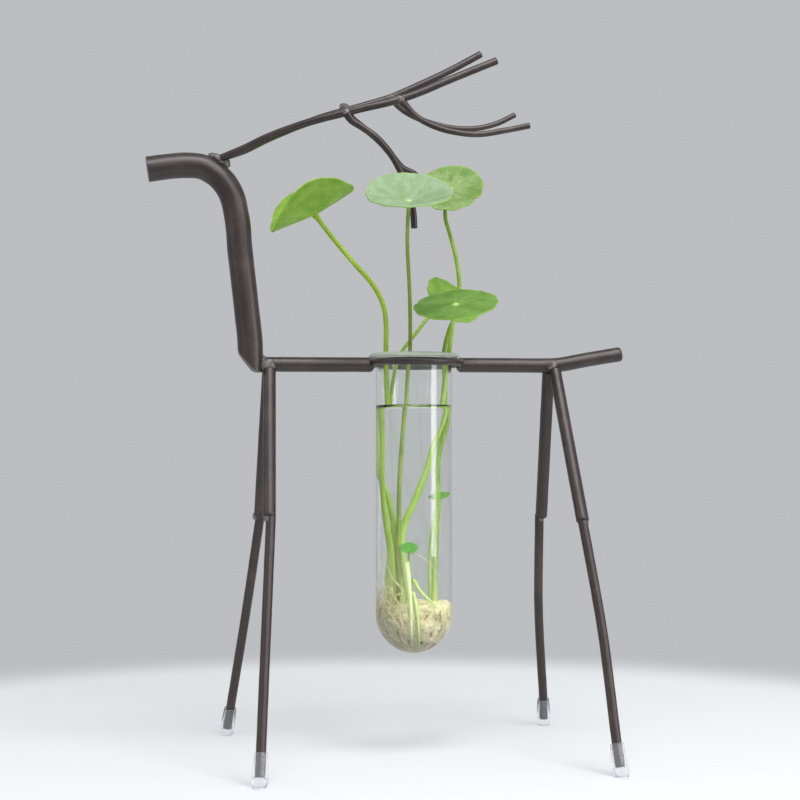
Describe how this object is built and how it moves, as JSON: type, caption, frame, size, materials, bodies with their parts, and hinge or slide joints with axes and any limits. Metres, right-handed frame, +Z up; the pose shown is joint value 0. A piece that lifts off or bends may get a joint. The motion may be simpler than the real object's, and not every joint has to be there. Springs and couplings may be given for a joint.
{
  "type": "hydroponic vase",
  "caption": "Deer-shaped stand of bent iron rod with a glass tube hung by its lip in a ring on the back, holding a round-leaved water plant.",
  "frame": {"origin": "on the table, under the middle of the stand between the muzzle and the tail", "axes": "+X from the muzzle to the tail, +Y from the near flank to the far flank, +Z up along the glass tube"},
  "size_m": [0.1909, 0.1235, 0.2841],
  "materials": {
    "iron": "satin hammered dark bronze coating",
    "glass": "clear thin glass",
    "clear_rubber": "clear soft rubber",
    "leaf": "living leaf, waxy",
    "stalk": "living stalk, waxy",
    "roots": "living roots, wet"
  },
  "bodies": {
    "stand": {"neck_bar": "iron", "tube_ring": "iron", "back_rod_front": "iron", "back_rod_tail": "iron", "near_front_thigh": "iron", "near_front_shin": "iron", "near_front_foot_cap": "clear_rubber", "far_front_thigh": "iron", "far_front_shin": "iron", "far_front_foot_cap": "clear_rubber", "near_rear_thigh": "iron", "near_rear_shin": "iron", "near_rear_foot_cap": "clear_rubber", "far_rear_thigh": "iron", "far_rear_shin": "iron", "far_rear_foot_cap": "clear_rubber", "near_antler_beam": "iron", "near_antler_low_tine": "iron", "near_antler_high_tine": "iron", "far_antler_beam": "iron", "far_antler_low_tine": "iron", "far_antler_high_tine": "iron"},
    "tube": {"glass_tube": "glass"},
    "plant": {"root_crown": "roots", "head_side_stalk": "stalk", "head_side_leaf": "leaf", "near_side_stalk": "stalk", "near_side_leaf": "leaf", "top_stalk": "stalk", "top_leaf": "leaf", "tail_side_stalk": "stalk", "tail_side_leaf": "leaf", "far_side_stalk": "stalk", "far_side_leaf": "leaf", "young_tail_side_shoot": "leaf", "young_head_side_shoot": "leaf"}
  },
  "joints": [
    {"name": "tube_lift", "type": "slide", "parent": "stand", "child": "tube", "axis": [0, 0, 1], "range_m": [0, 0.125], "deforming": ["head_side_stalk", "head_side_leaf", "near_side_stalk", "near_side_leaf", "top_stalk", "top_leaf", "tail_side_stalk", "tail_side_leaf", "far_side_stalk", "far_side_leaf"]},
    {"name": "plant_lift", "type": "slide", "parent": "tube", "child": "plant", "axis": [0, 0, 1], "range_m": [0, 0.12], "deforming": ["head_side_stalk", "head_side_leaf", "near_side_stalk", "near_side_leaf", "top_stalk", "top_leaf", "tail_side_stalk", "tail_side_leaf", "far_side_stalk", "far_side_leaf"]}
  ]
}
